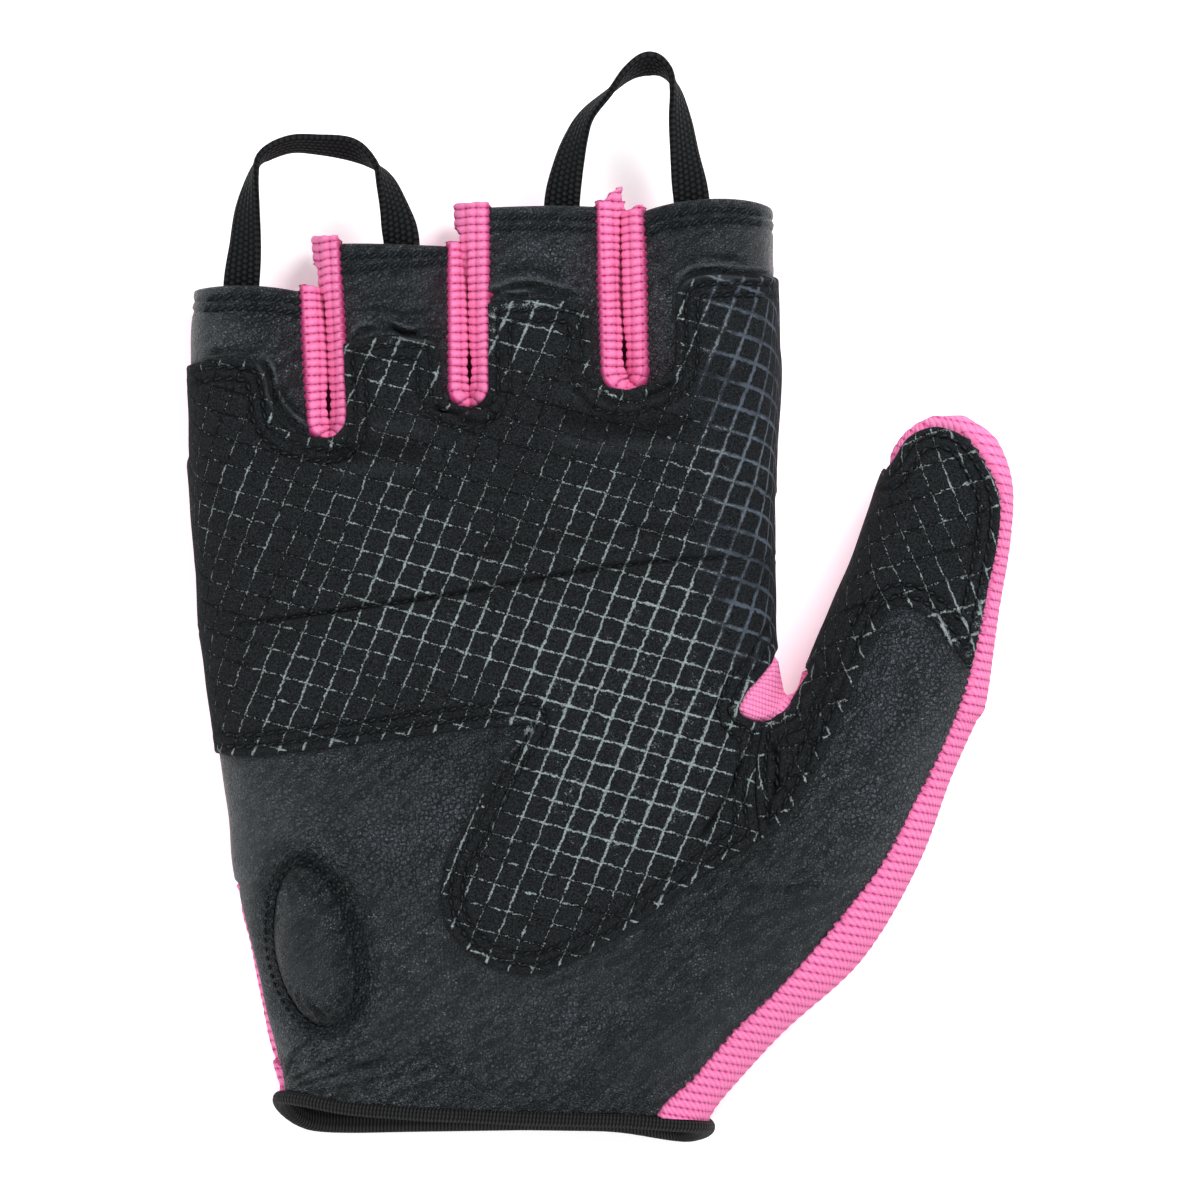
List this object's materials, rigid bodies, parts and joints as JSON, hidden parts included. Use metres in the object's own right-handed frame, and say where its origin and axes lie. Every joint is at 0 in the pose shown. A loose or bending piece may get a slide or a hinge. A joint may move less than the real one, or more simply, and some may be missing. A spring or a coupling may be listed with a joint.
{
  "type": "wheelchair glove",
  "caption": "Fingerless sport glove for the right hand, with a closed thumb, suede grip overlays, a knit back and pull loops between the fingers.",
  "frame": {"origin": "centre of the glove's bounding box, on the surface that its back lies on", "axes": "+Y to the fingertips, +Z out of the palm, +X to the thumb's side"},
  "size_m": [0.1375, 0.1815, 0.0265],
  "materials": {
    "leather": "soft grained charcoal leather, slight sheen",
    "suede": "black napped suede with a worn pale printed grid",
    "knit": "hot pink ribbed knit, matte",
    "webbing": "black woven tape",
    "binding": "black ribbed elastic binding"
  },
  "bodies": {
    "root": {"palm_leather": "leather", "back_knit": "knit", "fourchette_little_ring": "knit", "fourchette_ring_middle": "knit", "fourchette_middle_index": "knit", "thumb_gusset": "knit", "grip_palm": "suede", "grip_thumb": "suede", "heel_pad": "leather", "loop_little_ring": "webbing", "loop_middle_index": "webbing", "wrist_binding": "binding"}
  },
  "joints": []
}
